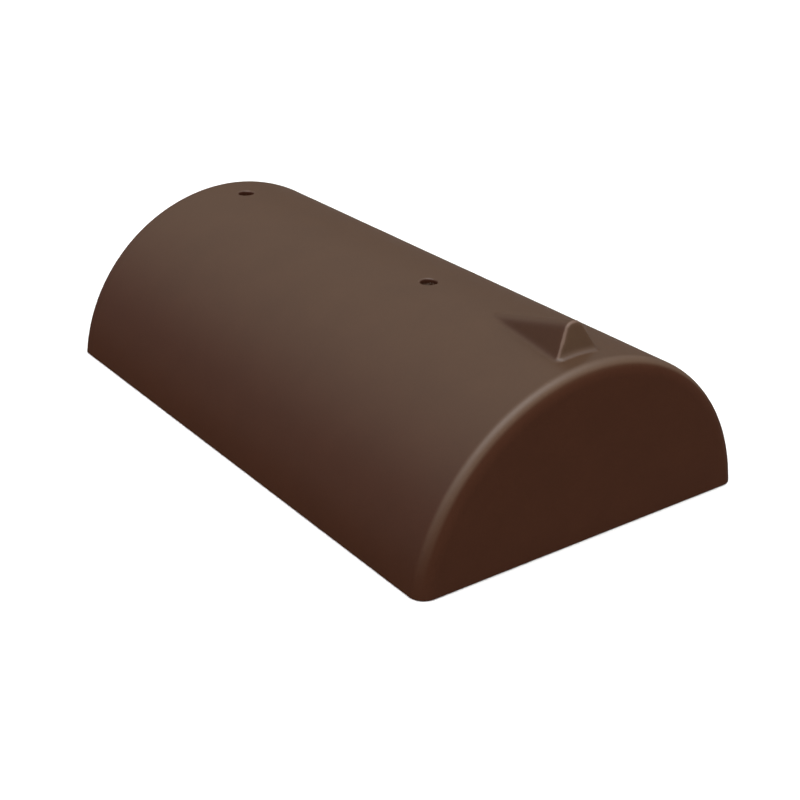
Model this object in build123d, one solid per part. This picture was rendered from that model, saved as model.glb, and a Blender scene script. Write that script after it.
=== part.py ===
from build123d import *
import os
from math import cos, radians, sin, sqrt, tan

# Half-round ridge end tile, cast in concrete as one piece. Millimetres.
# X runs across the ridge, Y along it and Z up. The closed end faces -Y and the open end +Y.
# The origin is on the plane that the feet rest on, in the middle of the tile's length and width.

# barrel
tile_length = 420.0
tile_width = 250.0
crown_height = 111.5
wall = 14.0

# closed end
end_wall = 15.0
end_edge_radius = 10.0
inner_corner_radius = 9.0

# arrises of the feet and of the open end
arris_radius = 1.5

# nail holes, straight down through the crown
hole_diameter = 11.0
hole_lip_radius = 1.5
tail_hole_from_open_end = 31.0
body_hole_from_closed_end = 161.0

# nib: a wedge on the crown, with a leaning three-cornered face, that slopes down towards the open end
nib_height = 20.2
nib_flank_angle = 28.0
nib_crest_radius = 8.0
nib_tip_crest_radius = 7.0
nib_face_lean = 15.0
nib_face_from_closed_end = 20.5
nib_tip_from_closed_end = 96.0
nib_edge_radius = 2.5
nib_root_radius = 4.5
nib_bed_depth = 5.0
nib_tip_depth = 1.25

closed_end = -tile_length / 2
open_end = tile_length / 2

# The section is the part of a circle through both feet and the crown, so its centre is under the feet.
outer_radius = ((tile_width / 2) ** 2 + crown_height ** 2) / (2 * crown_height)
inner_radius = outer_radius - wall
axis_height = crown_height - outer_radius


def arched_block(radius, start, end, end_radius):
    """A half-round block about the barrel's axis from start to end, with the arched edge at its start rounded."""
    foot = sqrt(radius ** 2 - axis_height ** 2)
    with BuildPart() as block:
        with BuildSketch(Plane.XZ.offset(-start)):
            with BuildLine():
                ThreePointArc((-foot, 0), (0, axis_height + radius), (foot, 0))
                Line((foot, 0), (-foot, 0))
            make_face()
        extrude(amount=start - end)
        fillet(block.edges().filter_by(GeomType.CIRCLE).sort_by(Axis.Y)[0], end_radius)
    return block.part


def nib_section(y, peak_height, crest_radius):
    """The nib across the ridge at y: two flanks that lean together, under a round crest of that peak height."""
    flank = radians(nib_flank_angle)
    bed_height = crown_height - nib_bed_depth
    sharp_height = peak_height + crest_radius * (1 / sin(flank) - 1)
    foot = (sharp_height - bed_height) * tan(flank)
    with BuildSketch(Plane((0, y, 0), x_dir=(1, 0, 0), z_dir=(0, -1, 0))) as section:
        with BuildLine():
            Polyline((-foot, bed_height), (0, sharp_height), (foot, bed_height), close=True)
        make_face()
        fillet(section.vertices().sort_by(Axis.Y)[-1], crest_radius)
    return section.sketch.face()


def nib():
    """The wedge from its face to a little past the tip, where its crest is under the crown, with a softened face."""
    face_y = closed_end + nib_face_from_closed_end
    tip_y = closed_end + nib_tip_from_closed_end
    fall = nib_height / (tip_y - face_y)
    lean = radians(nib_face_lean)
    # The first section stands ahead of the face, far enough for the leaning cut to pass through the whole bed.
    front_y = face_y - nib_bed_depth * tan(lean) - nib_edge_radius
    front_peak = crown_height + nib_height + (face_y - front_y) * fall
    back_peak = crown_height - nib_tip_depth
    back_y = tip_y + (crown_height - back_peak) / fall
    wedge = loft(
        [nib_section(front_y, front_peak, nib_crest_radius), nib_section(back_y, back_peak, nib_tip_crest_radius)],
        ruled=True,
    )
    face_plane = Plane((0, face_y, crown_height), x_dir=(1, 0, 0), z_dir=(0, cos(lean), -sin(lean)))
    wedge = split(wedge, bisect_by=face_plane, keep=Keep.TOP)
    face = wedge.faces().sort_by(Axis.Y)[0]
    return fillet(face.edges().sort_by(Axis.Z)[1:], nib_edge_radius)


def add_nib(block):
    """The nib joined to the barrel, with a hollow fillet all round its root."""
    wedge = nib()
    joined = block + wedge
    root = new_edges(block, wedge, combined=joined)
    return fillet(root, nib_root_radius)


def nail_hole(shell, y):
    """A round hole through the crown, with the lip softened at the top."""
    drill = Pos(0, y, crown_height) * Cylinder(hole_diameter / 2, crown_height)
    drilled = shell - drill
    lip = new_edges(shell, drill, combined=drilled).sort_by(Axis.Z)[-1]
    return fillet(lip, hole_lip_radius)


def soften_arrises(shell):
    """The edges round the feet and round the open end."""
    feet = shell.faces().filter_by(Axis.Z).sort_by(Axis.Z)[0]
    rim = shell.faces().filter_by(Axis.Y).sort_by(Axis.Y)[-1]
    return fillet(feet.edges() + rim.edges(), arris_radius)


def ridge_end_tile():
    block = arched_block(outer_radius, closed_end, open_end, end_edge_radius)
    hollow = arched_block(inner_radius, closed_end + end_wall, open_end + wall, inner_corner_radius)
    tile = add_nib(block) - hollow
    tile = soften_arrises(tile)
    for y in (open_end - tail_hole_from_open_end, closed_end + body_hole_from_closed_end):
        tile = nail_hole(tile, y)
    return tile


os.makedirs("parts", exist_ok=True)
export_step(ridge_end_tile(), "parts/ridge_end_tile.step")
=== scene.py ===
from math import cos, radians, sin

import bmesh
import bpy
import numpy as np
from mathutils import Matrix, Vector


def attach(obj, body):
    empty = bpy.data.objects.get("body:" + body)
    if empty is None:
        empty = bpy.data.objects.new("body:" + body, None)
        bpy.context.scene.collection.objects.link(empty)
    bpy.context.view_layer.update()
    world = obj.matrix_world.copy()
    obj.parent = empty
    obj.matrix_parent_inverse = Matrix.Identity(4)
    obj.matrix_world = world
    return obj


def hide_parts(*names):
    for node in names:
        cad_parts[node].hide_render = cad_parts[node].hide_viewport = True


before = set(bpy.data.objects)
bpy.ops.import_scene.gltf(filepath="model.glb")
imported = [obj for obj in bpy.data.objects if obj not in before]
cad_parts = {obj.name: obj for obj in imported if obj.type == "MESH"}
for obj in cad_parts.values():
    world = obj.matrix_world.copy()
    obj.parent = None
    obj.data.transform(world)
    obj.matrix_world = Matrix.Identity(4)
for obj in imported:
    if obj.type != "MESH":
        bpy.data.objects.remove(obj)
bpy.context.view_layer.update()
scene = bpy.context.scene
scene.view_settings.view_transform = "Standard"


photoCamera = {
    "aim": (-0.0020, -0.0225, 0.0182),
    "distance": 0.9803,
    "turn": 36.35,  # degrees from +Y towards +X that the camera looks along
    "down": 25.23,
    "roll": 0.81,
    "focal": 65.15,
    "filmWidth": 36.0,
}


def makeCamera(settings):
    turn = radians(settings["turn"])
    down = radians(settings["down"])
    roll = radians(settings["roll"])
    forward = Vector((sin(turn) * cos(down), cos(turn) * cos(down), -sin(down)))
    level = Vector((cos(turn), -sin(turn), 0))
    upright = level.cross(forward)
    right = cos(roll) * level + sin(roll) * upright
    up = -sin(roll) * level + cos(roll) * upright
    eye = Vector(settings["aim"]) - forward * settings["distance"]
    data = bpy.data.cameras.new("photoCamera")
    data.lens = settings["focal"]
    data.sensor_width = settings["filmWidth"]
    data.clip_start = 0.01
    camera = bpy.data.objects.new("photoCamera", data)
    axes = Matrix((right, up, -forward)).transposed().to_4x4()
    camera.matrix_world = Matrix.Translation(eye) @ axes
    scene.collection.objects.link(camera)
    scene.camera = camera


makeCamera(photoCamera)
print("camera set")

studio = {
    "floorSize": 40.0,
    "floorColour": (0.50, 0.50, 0.50, 1.0),
    "skyLight": 0.20,
    "frontLight": 1.85,  # added to the sky in front of the closed end
    "frontFrom": -0.3,
    "boxLight": 5.0,  # a long soft box overhead, across the tile
    "boxMiddle": (-0.12, -0.03),
    "boxHalf": (1.15, 0.42),
    "boxFade": (1.10, 0.28),
    "sunLight": 0.25,
    "sunAngle": 20.0,  # degrees across, so the shadow has a soft edge
    "sunFrom": (-0.69, -0.45, 0.58),
}


# A node of a kind in a tree, with its inputs either linked or set, by name or number.
def addNode(tree, kind, inputs=(), **options):
    node = tree.nodes.new(kind)
    for name, value in options.items():
        setattr(node, name, value)
    for key, value in dict(inputs).items():
        socket = node.inputs[key]
        if isinstance(value, bpy.types.NodeSocket):
            tree.links.new(value, socket)
        else:
            socket.default_value = value
    return node


def addMath(tree, operation, *values):
    return addNode(tree, "ShaderNodeMath", enumerate(values), operation=operation).outputs[0]


def mixColour(tree, factor, first, second):
    inputs = {0: factor, 6: first, 7: second}
    return addNode(tree, "ShaderNodeMix", inputs, data_type="RGBA").outputs[2]


def mixValue(tree, factor, first, second):
    return addNode(tree, "ShaderNodeMix", {"Factor": factor, "A": first, "B": second}).outputs[0]


# Rises smoothly from one output to the other as the value goes through the range.
def addRamp(tree, value, start, end, low=0.0, high=1.0):
    inputs = {"Value": value, "From Min": start, "From Max": end, "To Min": low, "To Max": high}
    return addNode(tree, "ShaderNodeMapRange", inputs, interpolation_type="SMOOTHSTEP").outputs[0]


# 1 for what the camera sees, straight or through a gloss or a glass, and 0 for the light on things.
def seenRay(tree):
    path = addNode(tree, "ShaderNodeLightPath")
    glossy = addMath(tree, "MAXIMUM", path.outputs["Is Camera Ray"], path.outputs["Is Glossy Ray"])
    return addMath(tree, "MAXIMUM", glossy, path.outputs["Is Transmission Ray"])


def makeSky(settings):
    world = bpy.data.worlds.new("studioWorld")
    scene.world = world
    world.use_nodes = True
    tree = world.node_tree
    direction = addNode(tree, "ShaderNodeTexCoord").outputs["Generated"]
    axes = addNode(tree, "ShaderNodeSeparateXYZ", {0: direction}).outputs
    inBox = addMath(tree, "GREATER_THAN", axes[2], 0.0)
    sides = zip(axes[:2], settings["boxMiddle"], settings["boxHalf"], settings["boxFade"])
    for value, middle, half, fade in sides:
        offset = addMath(tree, "ABSOLUTE", addMath(tree, "SUBTRACT", value, middle))
        inSide = addRamp(tree, offset, half - fade, half, 1.0, 0.0)
        inBox = addMath(tree, "MULTIPLY", inBox, inSide)
    box = addMath(tree, "MULTIPLY", inBox, settings["boxLight"])
    front = addRamp(tree, axes[1], settings["frontFrom"], -1.0, 0.0, settings["frontLight"])
    light = addMath(tree, "ADD", addMath(tree, "ADD", front, settings["skyLight"]), box)
    seen = addMath(tree, "ADD", box, 1.0)
    path = addNode(tree, "ShaderNodeLightPath").outputs["Is Camera Ray"]
    strength = mixValue(tree, path, mixValue(tree, seenRay(tree), light, seen), 1.0)
    background = tree.nodes["Background"]
    background.inputs["Color"].default_value = (1, 1, 1, 1)
    tree.links.new(strength, background.inputs["Strength"])


def makeFloor(settings):
    half = settings["floorSize"] / 2
    corners = [(-half, -half, 0), (half, -half, 0), (half, half, 0), (-half, half, 0)]
    mesh = bpy.data.meshes.new("floor")
    mesh.from_pydata(corners, [], [(0, 1, 2, 3)])
    floor = bpy.data.objects.new("floor", mesh)
    scene.collection.objects.link(floor)
    paint = bpy.data.materials.new("floorPaint")
    paint.use_nodes = True
    tree = paint.node_tree
    shader = tree.nodes["Principled BSDF"]
    shader.inputs["Roughness"].default_value = 1.0
    shader.inputs["Specular IOR Level"].default_value = 0.0
    tint = mixColour(tree, seenRay(tree), settings["floorColour"], (1, 1, 1, 1))
    tree.links.new(tint, shader.inputs["Base Color"])
    mesh.materials.append(paint)


def makeSun(settings):
    data = bpy.data.lights.new("softSun", "SUN")
    data.energy = settings["sunLight"]
    data.angle = radians(settings["sunAngle"])
    lamp = bpy.data.objects.new("softSun", data)
    lamp.rotation_euler = (-Vector(settings["sunFrom"])).to_track_quat("-Z", "Y").to_euler()
    scene.collection.objects.link(lamp)


makeSky(studio)
makeFloor(studio)
makeSun(studio)
print("studio set")

tile = {  # millimetres, as in the CAD
    "length": 420.0,
    "width": 250.0,
    "crown": 111.5,
    "wall": 14.0,
    "endWall": 15.0,
    "endRound": 10.0,
    "innerRound": 9.0,
    "arris": 1.5,
    "holeRadius": 5.5,
    "holeLip": 1.5,
    "holes": (179.0, -49.0),
    "nibHeight": 20.2,
    "nibFlank": radians(28.0),
    "nibCrest": (8.0, 7.0),  # crest radius at the face and past the tip
    "nibLean": radians(15.0),
    "nibFace": -189.5,
    "nibTip": -114.0,
    "nibEdge": 2.5,
    "nibRoot": 4.5,
}
outerRadius = ((tile["width"] / 2) ** 2 + tile["crown"] ** 2) / (2 * tile["crown"])
innerRadius = outerRadius - tile["wall"]
axisHeight = tile["crown"] - outerRadius
halfLength = tile["length"] / 2


# The overlap of two solids, as distances, with the edge between them rounded.
def roundOverlap(a, b, radius):
    corner = np.hypot(np.maximum(a + radius, 0), np.maximum(b + radius, 0))
    return np.minimum(np.maximum(a, b), -radius) + corner


# Which way a distance grows fastest, by small steps along each axis.
def slopeOf(distance, points, step=0.02):
    parts = []
    for axis in range(3):
        shift = np.zeros(3)
        shift[axis] = step
        parts.append((distance(points + shift) - distance(points - shift)) / (2 * step))
    return np.stack(parts, -1)


# Two solids joined, with the hollow that a ball leaves between them. The ball touches both, so its middle is
# one radius from each, and the angle between their surfaces sets how wide the hollow is.
def filletJoin(first, second, points, radius):
    a, b = first(points), second(points)
    slopes = [slopeOf(first, points), slopeOf(second, points)]
    slopes = [s / np.maximum(np.linalg.norm(s, axis=-1, keepdims=True), 1e-9) for s in slopes]
    along = np.clip((slopes[0] * slopes[1]).sum(-1), -0.98, 0.98)
    u, v = radius - a, radius - b
    between = (u > along * v) & (v > along * u)
    ball = radius - np.sqrt((u * u + v * v - 2 * u * v * along) / (1 - along * along))
    return np.where(between, ball, np.minimum(a, b))


# Half-round block: a cylinder about the barrel's axis, cut at its end, with that edge rounded.
def blockDistance(points, radius, end, endRound):
    x, y, z = np.moveaxis(points, -1, 0)
    return roundOverlap(np.hypot(x, z - axisHeight) - radius, end - y, endRound)


def outerBlock(points):
    return blockDistance(points, outerRadius, -halfLength, tile["endRound"])


# Nib: across the ridge two flanks under a round crest that sinks towards the tip, and the leaning face that
# cuts it. The crest's radius goes on changing for a tenth of the length past the face and the tip.
def nibSides(points):
    x, y, z = np.moveaxis(points, -1, 0)
    length = tile["nibTip"] - tile["nibFace"]
    fall = tile["nibHeight"] / length
    run = np.clip((y - tile["nibFace"]) / length, -0.1, 1.1)
    atFace, atTip = tile["nibCrest"]
    crest = atFace + run * (atTip - atFace)
    middle = tile["crown"] + (tile["nibTip"] - y) * fall - crest
    side = np.abs(x)
    flank = side * cos(tile["nibFlank"]) + (z - middle) * sin(tile["nibFlank"])
    onFlank = side * sin(tile["nibFlank"]) > (z - middle) * cos(tile["nibFlank"])
    wedge = np.where(onFlank, flank, np.hypot(x, z - middle)) - crest
    face = (z - tile["crown"]) * sin(tile["nibLean"]) - (y - tile["nibFace"]) * cos(tile["nibLean"])
    return wedge, face


def nibDistance(points):
    return roundOverlap(*nibSides(points), tile["nibEdge"])


def outsideDistance(points):
    return filletJoin(nibDistance, outerBlock, points, tile["nibRoot"])


# The whole tile without its nail holes: outside less hollow, cut at the open end and the floor, with the
# arrises rounded.
def tileDistance(points, outside=outerBlock):
    hollow = blockDistance(points, innerRadius, tile["endWall"] - halfLength, tile["innerRound"])
    walls = np.maximum(outside(points), -hollow)
    ends = roundOverlap(points[..., 1] - halfLength, -points[..., 2], tile["arris"])
    return roundOverlap(walls, ends, tile["arris"])


# Rough points are pulled onto the surface where the distance is nothing, in a few steps down its slope.
def settle(points, distance, steps=6):
    for _ in range(steps):
        slope = slopeOf(distance, points)
        size = np.maximum((slope * slope).sum(-1), 0.05)  # no long jumps where the slope is slight
        points = points - (distance(points) / size)[..., None] * slope
    return points


skin = {  # millimetres
    "blockSide": 10.0,  # half of the square round a nail hole
    "blockCells": 16,
    "middle": 20.0,  # the close columns reach this far from the ridge line
    "middleCells": 56,
    "sideCells": 42,
    "coarse": 4.6,  # between rows on the plain barrel
    "nibStep": 1.9,  # between rows along the nib, which start this far past its tip:
    "pastTip": 10.0,
    "faceStep": 0.38,  # between rows at the nib's face, from behind it to in front of it:
    "behindFace": 8.0,
    "beforeFace": 5.0,
    "endStep": 1.0,  # between rows from there to the end's round
    "roundCells": 16,
    "endCells": 30,
    "closeRows": (0.5, 1.6, 3.4),  # extra lines just inside each arris
    "arrisLines": 3,
    "flatLines": (0, 0.5, 1.0, 1.6, 3.0, 5.2, 7.0, 8.8, 11.0, 12.4, 13.0, 13.5),  # across the rim and feet
    "innerFrom": -60.0,  # from here to the end the inner rows draw together, as the hollow is shorter
}


def stepped(start, end, step):
    count = max(1, round(abs(end - start) / step))
    return np.linspace(start, end, count + 1)[1:]


# Rows along the barrel from the open end, close together at the nail holes and the nib.
def barrelRows():
    start = halfLength - tile["arris"]
    rows = [np.array([start, *(start - np.array(skin["closeRows"]))])]
    stretches = []
    for hole in tile["holes"]:
        stretches.append((hole + skin["blockSide"], skin["coarse"]))
        stretches.append((hole - skin["blockSide"], 2 * skin["blockSide"] / skin["blockCells"]))
    stretches += [
        (tile["nibTip"] + skin["pastTip"], skin["coarse"]),
        (tile["nibFace"] + skin["behindFace"], skin["nibStep"]),
        (tile["nibFace"] - skin["beforeFace"], skin["faceStep"]),
        (tile["endRound"] - halfLength, skin["endStep"]),
    ]
    for stop, step in stretches:
        rows.append(stepped(rows[-1][-1], stop, step))
    return np.concatenate(rows)


# Columns round the arch at a radius, as angles from the crown: even in x near the ridge, then even in angle,
# down to where the foot's arris starts.
def archAngles(radius):
    radius = np.asarray(radius, float)[..., None]
    middle = np.linspace(-skin["middle"], skin["middle"], skin["middleCells"] + 1)
    foot = np.arccos((tile["arris"] - axisHeight) / radius)
    first = np.arcsin(skin["middle"] / radius)
    close = np.array(skin["closeRows"])[::-1] / radius
    share = np.linspace(0, 1, skin["sideCells"] + 1)[1:]
    side = first + (foot - close[..., :1] - first) * share
    side = np.concatenate([side, foot - close[..., 1:], foot], -1)
    return np.concatenate([-side[..., ::-1], np.arcsin(middle / radius), side], -1)


# A skin over the arch and the end: rows along the barrel, then round the end's edge, then down the end face,
# where the arch shrinks onto a line half as long along the bottom.
def skinGrid(radius, rows, end, endRound):
    turn = np.linspace(0, np.pi / 2, skin["roundCells"] + 1)[1:]
    rowRadius = np.concatenate([np.full(len(rows), radius), radius - endRound * (1 - np.cos(turn))])
    rowY = np.concatenate([rows, end + endRound * (1 - np.sin(turn))])
    angle = archAngles(rowRadius)
    arch = np.stack([
        rowRadius[:, None] * np.sin(angle),
        np.broadcast_to(rowY[:, None], angle.shape),
        axisHeight + rowRadius[:, None] * np.cos(angle),
    ], -1)
    down = (1 - np.cos(np.linspace(0, np.pi, skin["endCells"] + 1)[1:])) / 2
    bottom = arch[-1] * [0.5, 1, 0] + [0, 0, tile["arris"]]
    face = arch[-1] + down[:, None, None] * (bottom - arch[-1])
    return np.concatenate([arch, face])


raising = {  # millimetres; the part of the skin that the nib can reach, and how it is searched
    "side": 26.0,
    "pastTip": 12.0,
    "below": 0.5,  # the search starts this far inside the barrel
    "above": 4.0,  # and ends this far above the nib
    "halvings": 26,
}


# The nib stands out of the skin along the barrel's radius: each point moves out until it leaves the solid,
# found by halving the stretch between the barrel and well above the nib.
def raiseNib(grid):
    x, y, z = np.moveaxis(grid, -1, 0)
    near = (np.abs(x) < raising["side"]) & (z > 0)
    near &= (y > tile["endRound"] - halfLength) & (y < tile["nibTip"] + raising["pastTip"])
    points = grid[near]
    axis = points * [0, 1, 0] + [0, 0, axisHeight]
    outward = (points - axis) / outerRadius
    low = np.full(len(points), outerRadius - raising["below"])
    high = np.full(len(points), outerRadius + tile["nibHeight"] + raising["above"])
    for _ in range(raising["halvings"]):
        middle = (low + high) / 2
        inside = outsideDistance(axis + outward * middle[:, None]) < 0
        low, high = np.where(inside, middle, low), np.where(inside, high, middle)
    raised = grid.copy()
    raised[near] = axis + outward * ((low + high) / 2)[:, None]
    return raised


# The edge of a skin, once round: open rim, right foot, bottom of the end, left foot.
def rimOf(grid):
    return np.concatenate([grid[0, :-1], grid[:-1, -1], grid[-1, :0:-1], grid[:0:-1, 0]])


# Band between the two skins: over the outer arris, across the flat of the rim or foot, and over the inner one.
# Drawn square first and then settled onto the rounded shape.
def edgeBand(outer, inner):
    flags = np.zeros(outer.shape[:2] + (2,))
    flags[0, :, 0] = 1
    flags[:, [0, -1], 1] = 1
    flags[-1, :, 1] = 1
    toRim, toFoot = np.moveaxis(rimOf(flags), -1, 0)

    def squared(edge):
        corner = edge.copy()
        corner[:, 1] = np.where(toRim > 0, halfLength, corner[:, 1])
        corner[:, 2] = np.where(toFoot > 0, 0, corner[:, 2])
        return corner

    ends = [rimOf(outer), squared(rimOf(outer)), squared(rimOf(inner)), rimOf(inner)]
    rise = np.arange(skin["arrisLines"]) / skin["arrisLines"]
    flat = np.array(skin["flatLines"]) / tile["wall"]
    lines = []
    for start, stop, share in zip(ends[:-1], ends[1:], (rise, flat, rise)):
        lines.append(start[None] + share[:, None, None] * (stop - start)[None])
    band = settle(np.concatenate(lines)[1:], tileDistance)
    return np.concatenate([ends[0][None], band, ends[3][None]])


sleeveLines = {  # where the lines of a nail hole lie, as shares of the way
    "inward": (1, 0.72, 0.46, 0.26, 0.12, 0.04, 0),  # lines 0 to 6, from the lip to the square
    "lip": np.linspace(0, np.pi / 2, 6)[1:],  # lines 7 to 11, as angles
    "bore": (0.1, 0.3, 0.5, 0.7, 0.9, 0.985, 1),  # lines 12 to 18
    "outward": (0.03, 0.12, 0.26, 0.46, 0.72, 1),  # lines 19 to 24
}


# Nail hole: from the square in the outer skin in to the lip, over it, down the bore and out over the hollow's
# ceiling to the square in the inner skin. Each line is one turn about the hole.
def holeSleeve(y, square):
    turn = np.arctan2(square[:, 1] - y, square[:, 0])
    ring = np.stack([np.cos(turn), np.sin(turn)], -1)
    flatSquare = square[:, :2] - [0, y]
    bore, lip = tile["holeRadius"], tile["holeLip"]
    mouth = ring * (bore + lip)

    def onSkin(flat, radius):
        height = axisHeight + np.sqrt(radius ** 2 - flat[:, :1] ** 2)
        return np.concatenate([flat + [0, y], height], -1)

    lines = [onSkin(mouth + s * (flatSquare - mouth), outerRadius) for s in sleeveLines["inward"]]
    for angle in sleeveLines["lip"]:
        point = onSkin(ring * (bore + lip * (1 - np.sin(angle))), outerRadius)
        lines.append(point - [0, 0, lip * (1 - np.cos(angle))])
    top, bottom = lines[-1], onSkin(ring * bore, innerRadius)
    lines += [top + s * (bottom - top) for s in sleeveLines["bore"]]
    for s in sleeveLines["outward"]:
        lines.append(onSkin(ring * bore + s * (flatSquare - ring * bore), innerRadius))
    return np.array(lines)


# Soft step from 0 to 1 as a value goes from start to end.
def eased(value, start, end):
    share = np.clip((value - start) / (end - start), 0, 1)
    return share * share * (3 - 2 * share)


uneven = {  # millimetres; the waves only ever lower the surface
    "seed": 11,
    "outerWave": 48.0,
    "outerDepth": 0.12,
    "innerWave": 24.0,
    "innerDepth": 0.32,
    "atEdge": (2.0, 8.0),  # the waves die out between these distances to a foot or the open rim
    "atHole": (0.3, 2.5),  # and between these to a hole's lip
}


# Sum of sines in random directions, each shorter or longer than the length given, scaled to lie between 0
# and 1.
def waves(points, length, random, count=9, spread=(0.7, 1.5)):
    total = np.zeros(points.shape[:-1])
    for _ in range(count):
        way = random.normal(size=3)
        way *= 2 * np.pi / (length * random.uniform(*spread) * np.linalg.norm(way))
        total += np.sin(points @ way + random.uniform(0, 2 * np.pi))
    return np.clip(0.5 + total / count, 0, 1)


# A cast surface isn't quite true: each point goes in along its own slope by a slow wave, deeper on the
# underside.
def roughCast(points, coated):
    random = np.random.default_rng(uneven["seed"])
    outer = uneven["outerDepth"] * waves(points, uneven["outerWave"], random)
    inner = uneven["innerDepth"] * waves(points, uneven["innerWave"], random)
    depth = np.where(coated > 0.5, outer, inner)
    depth *= eased(points[:, 2], *uneven["atEdge"]) * eased(halfLength - points[:, 1], *uneven["atEdge"])
    for hole in tile["holes"]:
        away = np.hypot(points[:, 0], points[:, 1] - hole) - tile["holeRadius"] - tile["holeLip"]
        depth *= eased(away, *uneven["atHole"])
    slope = slopeOf(lambda p: tileDistance(p, outsideDistance), points)
    slope /= np.maximum(np.linalg.norm(slope, axis=-1, keepdims=True), 0.2)
    return points - depth[:, None] * slope


# How sharply the surface turns, in 1/mm: the distance at small steps all round less the distance here. It is
# the sum of both bends, so a rounded edge has one over its radius, and a hollow has less than nothing.
def bendOf(points, step=0.4):
    around = -6 * tileDistance(points, outsideDistance)
    for axis in range(3):
        shift = np.zeros(3)
        shift[axis] = step
        around += tileDistance(points + shift, outsideDistance)
        around += tileDistance(points - shift, outsideDistance)
    return around / step ** 2


marks = {  # from where a mark starts to where it is full, mostly in millimetres from a surface
    "nib": (1.5, 0.5),
    "offBarrel": (0.1, 1.0),
    "face": (-1.6, -0.2),
    "flank": (-1.0, -2.4),
    "edge": (2.0, 0.5),
    "nearEdge": (1.0, 0.3),
    "edgeOffBarrel": (0.5, 1.5),
    "edgeSide": (5.0, -3.0),  # across the ridge, full on the left
    "edgeRight": 0.3,  # what is left of the edge on the right
    "roundStart": (0.0, 18.0),  # degrees round the end's edge
    "roundEnd": (52.0, 36.0),  # degrees
    "roundHeight": (0.0, 80.0),  # over the feet
    "insideBarrel": -0.5,  # deeper than this is no outer surface
    "matte": (8.0, 54.0),  # degrees
    "bend": (0.12, 0.40),  # 1/mm
    "coatBand": ((4, 7), (1, 0)),  # lines of the edge band, and how much coat there is on them
    "coatSleeve": ((11, 12.5, 16, 19), (1, 0.45, 0.39, 0)),  # the same for a nail hole
    "edgeSleeve": ((5, 7, 10, 12), (0, 0.30, 0.30, 0)),  # and how far its lip counts as an edge, made paler by wear and by a painted highlight
}


# Marks of the nib: 1 on its leaning face, on its flanks and crest, and along the middle of its rounded edge,
# where flank and face are equally far. The edge has less on its right side.
def nibMarks(points):
    wedge, face = nibSides(points)
    block = outerBlock(points)
    onNib = eased(wedge, *marks["nib"])
    offBarrel = eased(block, *marks["offBarrel"])
    onFace = eased(face, *marks["face"]) * onNib * offBarrel
    onFlank = onNib * eased(face, *marks["flank"]) * offBarrel
    onEdge = eased(np.abs(wedge - face), *marks["edge"]) * eased(nibDistance(points), *marks["nearEdge"])
    left = marks["edgeRight"] + (1 - marks["edgeRight"]) * eased(points[:, 0], *marks["edgeSide"])
    return onFace, onFlank, onEdge * eased(block, *marks["edgeOffBarrel"]) * left


# Marks of the end's edge, by how many degrees it has turned from the barrel to the end face: where a pale
# highlight is painted on it, less towards the feet, and where it has no gloss.
def endMarks(points):
    turn = np.degrees(np.arcsin(1 - np.clip((points[:, 1] + halfLength) / tile["endRound"], 0, 1)))
    paintedRimHighlight = eased(turn, *marks["roundStart"]) * eased(turn, *marks["roundEnd"])
    paintedRimHighlight = paintedRimHighlight * eased(points[:, 2], *marks["roundHeight"])
    return paintedRimHighlight * (outerBlock(points) > marks["insideBarrel"]), eased(turn, *marks["matte"])


# A value for each point of a grid, the same along a line: from the values at some lines.
def byLine(grid, at):
    return np.broadcast_to(np.interp(np.arange(len(grid)), *at)[:, None], grid.shape[:2])


def numbered(grid, start):
    return start + np.arange(grid.shape[0] * grid.shape[1]).reshape(grid.shape[:2])


# Four corners of each cell of a grid of point numbers, turned so that (line step) x (column step) points out,
# or the other way round when flipped. A closed grid goes on from its last column to its first.
def cells(index, flipped=False, closed=False):
    if closed:
        index = np.concatenate([index, index[:, :1]], 1)
    corners = [index[:-1, :-1], index[1:, :-1], index[1:, 1:], index[:-1, 1:]]
    return np.stack(corners[::-1] if flipped else corners, -1)


def nearest(values, target):
    return int(np.argmin(np.abs(values - target)))


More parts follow.
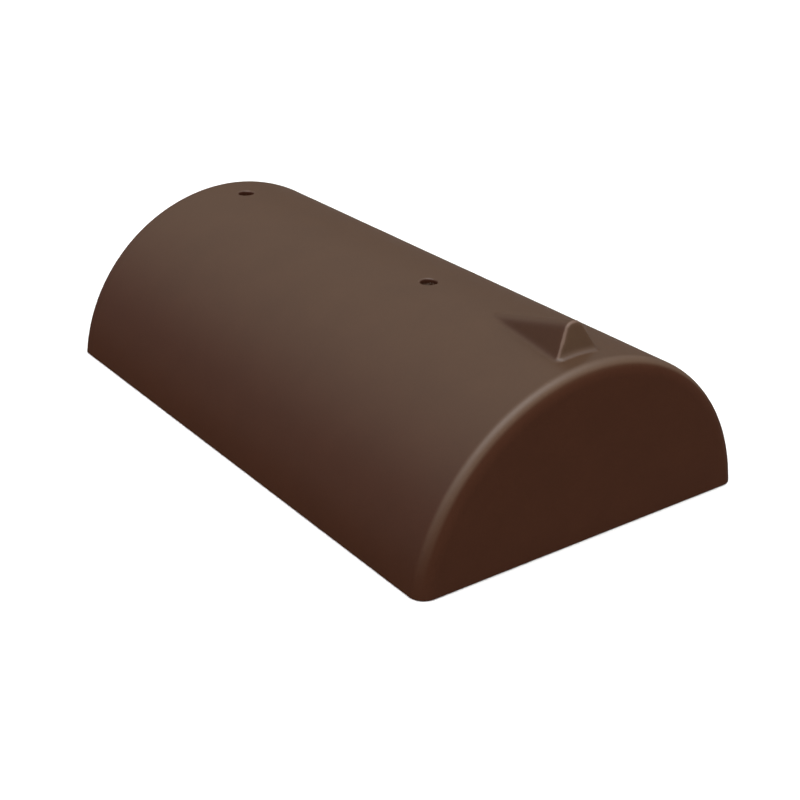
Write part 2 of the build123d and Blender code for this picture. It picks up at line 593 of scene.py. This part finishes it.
def makeTileSkin():
    rows = barrelRows()
    turning = skin["innerFrom"]
    innerEnd = tile["endWall"] - halfLength
    share = (rows - turning) / (tile["endRound"] - halfLength - turning)
    innerRows = np.where(rows > turning, rows, turning + share * (innerEnd + tile["innerRound"] - turning))
    outer = raiseNib(skinGrid(outerRadius, rows, -halfLength, tile["endRound"]))
    inner = skinGrid(innerRadius, innerRows, innerEnd, tile["innerRound"])
    band = edgeBand(outer, inner)
    grids = [outer, inner, band]
    # 1 where the coat is, 0 on bare concrete: it ends on the flat of the rim and feet, and a little way down
    # the bores
    coated = [np.ones(outer.shape[:2]), np.zeros(inner.shape[:2]), byLine(band, marks["coatBand"])]
    edges = [nibMarks(outer.reshape(-1, 3))[2]]
    edges += [eased(bendOf(grid), *marks["bend"]) for grid in (inner, band)]
    outerIndex, innerIndex = numbered(outer, 0), numbered(inner, outer[..., 0].size)
    bandIndex = numbered(band, 2 * outer[..., 0].size)
    outerCells, innerCells = cells(outerIndex), cells(innerIndex, flipped=True)
    kept = np.ones(outerCells.shape[:2], bool)
    first, last = (nearest(outer[0, :, 0], side) for side in (-skin["blockSide"], skin["blockSide"]))
    faces = []
    total = bandIndex.max() + 1
    for hole in tile["holes"]:
        top, bottom = nearest(rows, hole + skin["blockSide"]), nearest(rows, hole - skin["blockSide"])
        kept[top:bottom, first:last] = False
        sleeve = holeSleeve(hole, rimOf(outer[top:bottom + 1, first:last + 1]))
        faces.append(cells(numbered(sleeve, total), closed=True).reshape(-1, 4))
        total += sleeve[..., 0].size
        grids.append(sleeve)
        coated.append(byLine(sleeve, marks["coatSleeve"]))
        edges.append(byLine(sleeve, marks["edgeSleeve"]))
    bandCells = cells(bandIndex, flipped=True, closed=True)
    faces += [outerCells[kept], innerCells[kept], bandCells.reshape(-1, 4)]
    points = np.concatenate([grid.reshape(-1, 3) for grid in grids])
    coated, edges = (np.concatenate([part.ravel() for part in parts]) for parts in (coated, edges))
    looks = {"coat": coated, "edge": edges}
    # The nib's face and flank marks carry painted light in the paint.
    looks["nibFace"], looks["nibFlank"] = nibMarks(points)[:2]
    # The first of these marks places the painted highlight on the end's round.
    looks["endRound"], looks["matte"] = endMarks(points)
    return roughCast(points, coated), np.concatenate(faces), looks


def meshFrom(name, points, faces):
    mesh = bpy.data.meshes.new(name)
    mesh.vertices.add(len(points))
    mesh.vertices.foreach_set("co", points.ravel())
    mesh.loops.add(faces.size)
    mesh.loops.foreach_set("vertex_index", faces.ravel())
    mesh.polygons.add(len(faces))
    mesh.polygons.foreach_set("loop_start", np.arange(0, faces.size, 4))
    mesh.polygons.foreach_set("use_smooth", np.ones(len(faces), bool))
    mesh.update(calc_edges=True)
    return mesh


def writeAttribute(mesh, name, values):
    layer = mesh.attributes.new(name, "FLOAT", "POINT")
    layer.data.foreach_set("value", np.asarray(values, np.float32))


# The seams between the grids share their places, so the doubles there are merged. Distances in metres.
# Tells how many edges are open.
def closeSeams(mesh):
    work = bmesh.new()
    work.from_mesh(mesh)
    bmesh.ops.remove_doubles(work, verts=work.verts, dist=2e-6)
    bmesh.ops.dissolve_degenerate(work, edges=work.edges, dist=1e-7)
    leftOpen = sum(not edge.is_manifold for edge in work.edges)
    work.to_mesh(mesh)
    work.free()
    return leftOpen


points, faces, looks = makeTileSkin()
tileMesh = meshFrom("tileSkin", points / 1000, faces)
for name, values in looks.items():
    writeAttribute(tileMesh, name, values)
print("seams closed,", closeSeams(tileMesh), "edges left open")
tileSkin = bpy.data.objects.new("tileSkin", tileMesh)
scene.collection.objects.link(tileSkin)
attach(tileSkin, "root")
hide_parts("ridge_end_tile")
triangles = sum(len(polygon.vertices) - 2 for polygon in tileMesh.polygons)
print("tile skin made:", len(tileMesh.vertices), "points", triangles, "triangles")

coat = {
    "colour": (0.0408, 0.0154, 0.0085, 1),
    # The second colour is a painted sheen: the coat is made paler the more it faces up, standing in for the
    # light from above.
    "paintedSheenColour": (0.0625, 0.0350, 0.0207, 1),
    "paintedSheen": (0.43, 1.06),  # painted sheen: how far up the surface faces where it starts and where it is full
    # Painted light: the nib's face and flanks are made paler than the lamps leave them.
    "nibFacePaintedLight": 1.0,
    "nibFlankPaintedLight": 0.30,
    "paintedRimHighlightColour": (0.0900, 0.0560, 0.0370, 1),  # painted highlight on the end's round
    "paintedRimHighlight": 0.68,
    "ior": 1.45,
    "specular": 0.01,
    "glossIor": 4.0,
    "gloss": 0.064,
    "glossUp": (0.12, 0.90),
    "glossRoughness": 0.30,
    "glossOnWorn": 0.4,  # what is left of the gloss where the coat is worn
    "glancing": (0.55, 1.0),  # a coat this thin doesn't flare at a glancing look, so there it is held back
    "glossGlancing": 0.2,  # to this
    "roughness": 0.68,
    "speckle": 0.05,  # how much lighter or darker single sand grains are under the coat
    "mottle": 0.05,
    "mottleSize": 0.030,  # metres
    "grainSize": 0.0009,
    "grainHeight": 0.000030,
    "edgeScale": 350.0,  # patches per metre that break up the line where the coat ends
    "edgeFade": (0.35, 0.65),
}
bare = {  # the underside and the bores, which the coat doesn't reach
    "colour": (0.150, 0.104, 0.078, 1),
    "darkColour": (0.098, 0.066, 0.048, 1),
    "roughness": 0.92,
    "speckle": 0.18,
    "mottle": 0.10,
    "mottleSize": 0.018,
    "grainSize": 0.0014,
    "grainHeight": 0.00016,
    "streakWidth": 0.004,
    "streakLength": 0.090,
    "streak": (0.35, 0.75),
    "streakShade": 0.6,
    "poreSpacing": 0.0065,
    "poreShare": 0.75,
    "poreShade": (0.0, 0.4),
    "poreDepth": 0.00060,
}
# Paler edges: worn coat, and on the nail holes' lips also a painted highlight.
wearAndLipHighlight = {
    "colour": (0.165, 0.108, 0.082, 1),
    "amount": 0.55,
    "up": (0.10, 0.35),  # edges that face down keep their coat
    "patchSize": 0.006,
}


# Node group that takes a place and some numbers, and gives numbers.
def newGroup(name, numbers, results):
    group = bpy.data.node_groups.new(name, "ShaderNodeTree")
    group.interface.new_socket("Vector", in_out="INPUT", socket_type="NodeSocketVector")
    for label, value in numbers.items():
        socket = group.interface.new_socket(label, in_out="INPUT", socket_type="NodeSocketFloat")
        socket.default_value = value
    for label in results:
        group.interface.new_socket(label, in_out="OUTPUT", socket_type="NodeSocketFloat")
    given = group.nodes.new("NodeGroupInput").outputs
    return group, given, group.nodes.new("NodeGroupOutput").inputs


def placeGroup(tree, group, place, numbers):
    return addNode(tree, "ShaderNodeGroup", {"Vector": place, **numbers}, node_tree=group).outputs


def addNoise(tree, vector, scale, detail=3.0, roughness=0.6):
    inputs = {"Vector": vector, "Scale": scale, "Detail": detail, "Roughness": roughness}
    return addNode(tree, "ShaderNodeTexNoise", inputs).outputs[0]


def addScatter(tree, vector, scale):
    return addNode(tree, "ShaderNodeTexVoronoi", {"Vector": vector, "Scale": scale}).outputs


# Sand in cement: noise for the paste with the round tops of grains in it, one number for height.
def makeSandGrain():
    group, given, result = newGroup("sandGrain", {"Size": 0.001}, ["Height", "Speckle"])
    scale = addMath(group, "DIVIDE", 1.0, given["Size"])
    coarser = addMath(group, "MULTIPLY", scale, 0.35)  # the paste has lumps of about three grains
    paste = addNoise(group, given["Vector"], coarser, detail=4.0)
    grains = addScatter(group, given["Vector"], scale)
    tops = addMath(group, "SUBTRACT", 1.0, addMath(group, "POWER", grains["Distance"], 2.0))
    height = mixValue(group, 0.4, paste, tops)
    group.links.new(height, result["Height"])
    each = addNode(group, "ShaderNodeSeparateColor", {0: grains["Color"]}).outputs[0]
    group.links.new(each, result["Speckle"])
    return group


# Cloudy change of shade: a factor that wanders about 1 by the amount given. The noise keeps within a quarter
# of its middle for the most part, so four times its swing is the whole amount.
def makeMottle():
    group, given, result = newGroup("mottle", {"Size": 0.03, "Amount": 0.05}, ["Factor"])
    scale = addMath(group, "DIVIDE", 1.0, given["Size"])
    cloud = addNoise(group, given["Vector"], scale, detail=5.0, roughness=0.55)
    swing = addMath(group, "MULTIPLY", addMath(group, "SUBTRACT", cloud, 0.5), given["Amount"])
    group.links.new(addMath(group, "MULTIPLY_ADD", swing, 4.0, 1.0), result["Factor"])
    return group


# Pits left by air in the mix: round spots in some cells of a scatter, each cell with a size of its own, from
# 0.08 to 0.34 of the spacing and mostly small.
def makePores():
    group, given, result = newGroup("airPores", {"Spacing": 0.006, "Share": 0.4}, ["Pit"])
    scatter = addScatter(group, given["Vector"], addMath(group, "DIVIDE", 1.0, given["Spacing"]))
    draws = addNode(group, "ShaderNodeSeparateColor", {0: scatter["Color"]}).outputs
    chosen = addMath(group, "LESS_THAN", draws[0], given["Share"])
    size = addMath(group, "MULTIPLY_ADD", addMath(group, "POWER", draws[1], 2.0), 0.26, 0.08)
    deep = addMath(group, "SUBTRACT", 1.0, addMath(group, "DIVIDE", scatter["Distance"], size))
    pit = addMath(group, "MINIMUM", addMath(group, "SMOOTH_MAX", deep, 0.0, 0.05), 1.0)
    group.links.new(addMath(group, "MULTIPLY", pit, chosen), result["Pit"])
    return group


# Drag marks along the tile from the roller that shapes its underside: noise drawn out along Y.
def makeStreaks():
    group, given, result = newGroup("dragStreaks", {"Width": 0.004, "Length": 0.09}, ["Streak"])
    axes = addNode(group, "ShaderNodeSeparateXYZ", {0: given["Vector"]}).outputs
    sizes = (given["Width"], given["Length"], given["Width"])
    drawn = [addMath(group, "DIVIDE", axis, size) for axis, size in zip(axes, sizes)]
    drawn = addNode(group, "ShaderNodeCombineXYZ", enumerate(drawn)).outputs[0]
    group.links.new(addNoise(group, drawn, 1.0, roughness=0.5), result["Streak"])
    return group


# Paler edges: where an edge has lost its coat, and on the nail holes' lips also a painted highlight. The
# edge's own strength, made up to 0.9 stronger or weaker in patches, and nothing where there is no edge.
def makeWornEdgeAndLipHighlight():
    numbers = {"Edge": 0.0, "Patch Size": 0.004, "Amount": 1.0}
    group, given, result = newGroup("wornEdgeAndLipHighlight", numbers, ["Mask"])
    scale = addMath(group, "DIVIDE", 1.0, given["Patch Size"])
    patches = addNoise(group, given["Vector"], scale)
    broken = addMath(group, "ADD", given["Edge"], addMath(group, "MULTIPLY_ADD", patches, 1.8, -0.9))
    near = addRamp(group, given["Edge"], 0.0, 0.3)
    mask = addMath(group, "MULTIPLY", addRamp(group, broken, 0.1, 1.1), near)
    group.links.new(addMath(group, "MULTIPLY", mask, given["Amount"]), result["Mask"])
    return group


sandGrain, mottle, airPores = makeSandGrain(), makeMottle(), makePores()
dragStreaks, wornEdgeAndLipHighlight = makeStreaks(), makeWornEdgeAndLipHighlight()


def attribute(tree, name):
    return addNode(tree, "ShaderNodeAttribute", attribute_name=name).outputs["Fac"]


# How far up the surface faces, in the tile's own axes: 1 is straight up.
def facingUp(tree):
    facing = addNode(tree, "ShaderNodeNewGeometry").outputs["Normal"]
    turned = {"vector_type": "NORMAL", "convert_from": "WORLD", "convert_to": "OBJECT"}
    own = addNode(tree, "ShaderNodeVectorTransform", {0: facing}, **turned).outputs[0]
    return addNode(tree, "ShaderNodeSeparateXYZ", {0: own}).outputs[2]


# Cement of one kind: its colour with the grains lighter and darker, its clouds and the height of its sand.
def makeCement(tree, place, colour, settings):
    clouds = {"Size": settings["mottleSize"], "Amount": settings["mottle"]}
    shade = placeGroup(tree, mottle, place, clouds)[0]
    grain = placeGroup(tree, sandGrain, place, {"Size": settings["grainSize"]})
    swing = settings["speckle"]
    grains = addMath(tree, "MULTIPLY_ADD", grain["Speckle"], swing, 1 - swing / 2)
    light = addMath(tree, "MULTIPLY", shade, grains)
    colour = addNode(tree, "ShaderNodeVectorMath", {0: colour, 3: light}, operation="SCALE").outputs[0]
    return colour, shade, addMath(tree, "MULTIPLY", grain["Height"], settings["grainHeight"])


# The coat's colour, with a painted sheen where it faces up, painted light on the nib's face and flanks, and a
# painted highlight on the round of the end.
def makeCoatTint(tree, upward):
    paintedSheen = addRamp(tree, upward, *coat["paintedSheen"])
    for name in ("nibFace", "nibFlank"):
        mark = addMath(tree, "MULTIPLY", attribute(tree, name), coat[name + "PaintedLight"])
        paintedSheen = addMath(tree, "MAXIMUM", paintedSheen, mark)
    tint = mixColour(tree, paintedSheen, coat["colour"], coat["paintedSheenColour"])
    paintedRimHighlight = addMath(tree, "MULTIPLY", attribute(tree, "endRound"), coat["paintedRimHighlight"])
    return mixColour(tree, paintedRimHighlight, tint, coat["paintedRimHighlightColour"])


# The bare concrete has streaks and pores. Also gives the pores on their own.
def makeBareTint(tree, place):
    sizes = {"Width": bare["streakWidth"], "Length": bare["streakLength"]}
    streak = addRamp(tree, placeGroup(tree, dragStreaks, place, sizes)[0], *bare["streak"])
    streak = addMath(tree, "MULTIPLY", streak, bare["streakShade"])
    spacing = {"Spacing": bare["poreSpacing"], "Share": bare["poreShare"]}
    pit = placeGroup(tree, airPores, place, spacing)[0]
    darker = addMath(tree, "MAXIMUM", streak, addRamp(tree, pit, *bare["poreShade"]))
    return mixColour(tree, darker, bare["colour"], bare["darkColour"]), pit


# How much the coat shines: most where it faces up, less where it is worn or seen at a glancing angle, not at
# all on bare concrete or where the end's edge is matte.
def makeGloss(tree, upward, coated, wearAndLipHighlightMask):
    gloss = addRamp(tree, upward, *coat["glossUp"], 0.0, coat["gloss"])
    left = addMath(tree, "MULTIPLY_ADD", wearAndLipHighlightMask, coat["glossOnWorn"] - 1, 1.0)
    glancing = addNode(tree, "ShaderNodeLayerWeight", {"Blend": 0.5}).outputs["Facing"]
    held = addRamp(tree, glancing, *coat["glancing"], 1.0, coat["glossGlancing"])
    shiny = addMath(tree, "SUBTRACT", 1.0, attribute(tree, "matte"))
    for factor in (coated, left, held, shiny):
        gloss = addMath(tree, "MULTIPLY", gloss, factor)
    return gloss


def makeTilePaint():
    paint = bpy.data.materials.new("tilePaint")
    paint.use_nodes = True
    tree = paint.node_tree
    shader = tree.nodes["Principled BSDF"]
    shader.inputs["IOR"].default_value = coat["ior"]
    shader.inputs["Specular IOR Level"].default_value = coat["specular"]
    shader.inputs["Coat Roughness"].default_value = coat["glossRoughness"]
    shader.inputs["Coat IOR"].default_value = coat["glossIor"]
    place = addNode(tree, "ShaderNodeTexCoord").outputs["Object"]
    upward = facingUp(tree)
    coatColour, coatShade, coatHeight = makeCement(tree, place, makeCoatTint(tree, upward), coat)
    bareTint, pit = makeBareTint(tree, place)
    bareColour, _, bareHeight = makeCement(tree, place, bareTint, bare)
    bareHeight = addMath(tree, "SUBTRACT", bareHeight, addMath(tree, "MULTIPLY", pit, bare["poreDepth"]))

    # Where each of them is, and where the edges have lost the coat, which on the nail holes' lips is also a
    # painted highlight.
    wander = addMath(tree, "SUBTRACT", addNoise(tree, place, coat["edgeScale"]), 0.5)
    coated = addRamp(tree, addMath(tree, "ADD", attribute(tree, "coat"), wander), *coat["edgeFade"])
    lying = addRamp(tree, upward, *wearAndLipHighlight["up"], 0.0, wearAndLipHighlight["amount"])
    patches = {"Edge": attribute(tree, "edge"), "Patch Size": wearAndLipHighlight["patchSize"], "Amount": lying}
    wearAndLipHighlightMask = placeGroup(tree, wornEdgeAndLipHighlight, place, patches)[0]

    body = mixColour(tree, coated, bareColour, coatColour)
    coatRough = addMath(tree, "MULTIPLY", coatShade, coat["roughness"])
    height = mixValue(tree, coated, bareHeight, coatHeight)
    bump = addNode(tree, "ShaderNodeBump", {"Strength": 1.0, "Distance": 1.0, "Height": height})
    tree.links.new(mixColour(tree, wearAndLipHighlightMask, body, wearAndLipHighlight["colour"]), shader.inputs["Base Color"])
    tree.links.new(mixValue(tree, coated, bare["roughness"], coatRough), shader.inputs["Roughness"])
    tree.links.new(makeGloss(tree, upward, coated, wearAndLipHighlightMask), shader.inputs["Coat Weight"])
    tree.links.new(bump.outputs[0], shader.inputs["Normal"])
    return paint


tileMesh.materials.append(makeTilePaint())
print("tile painted")
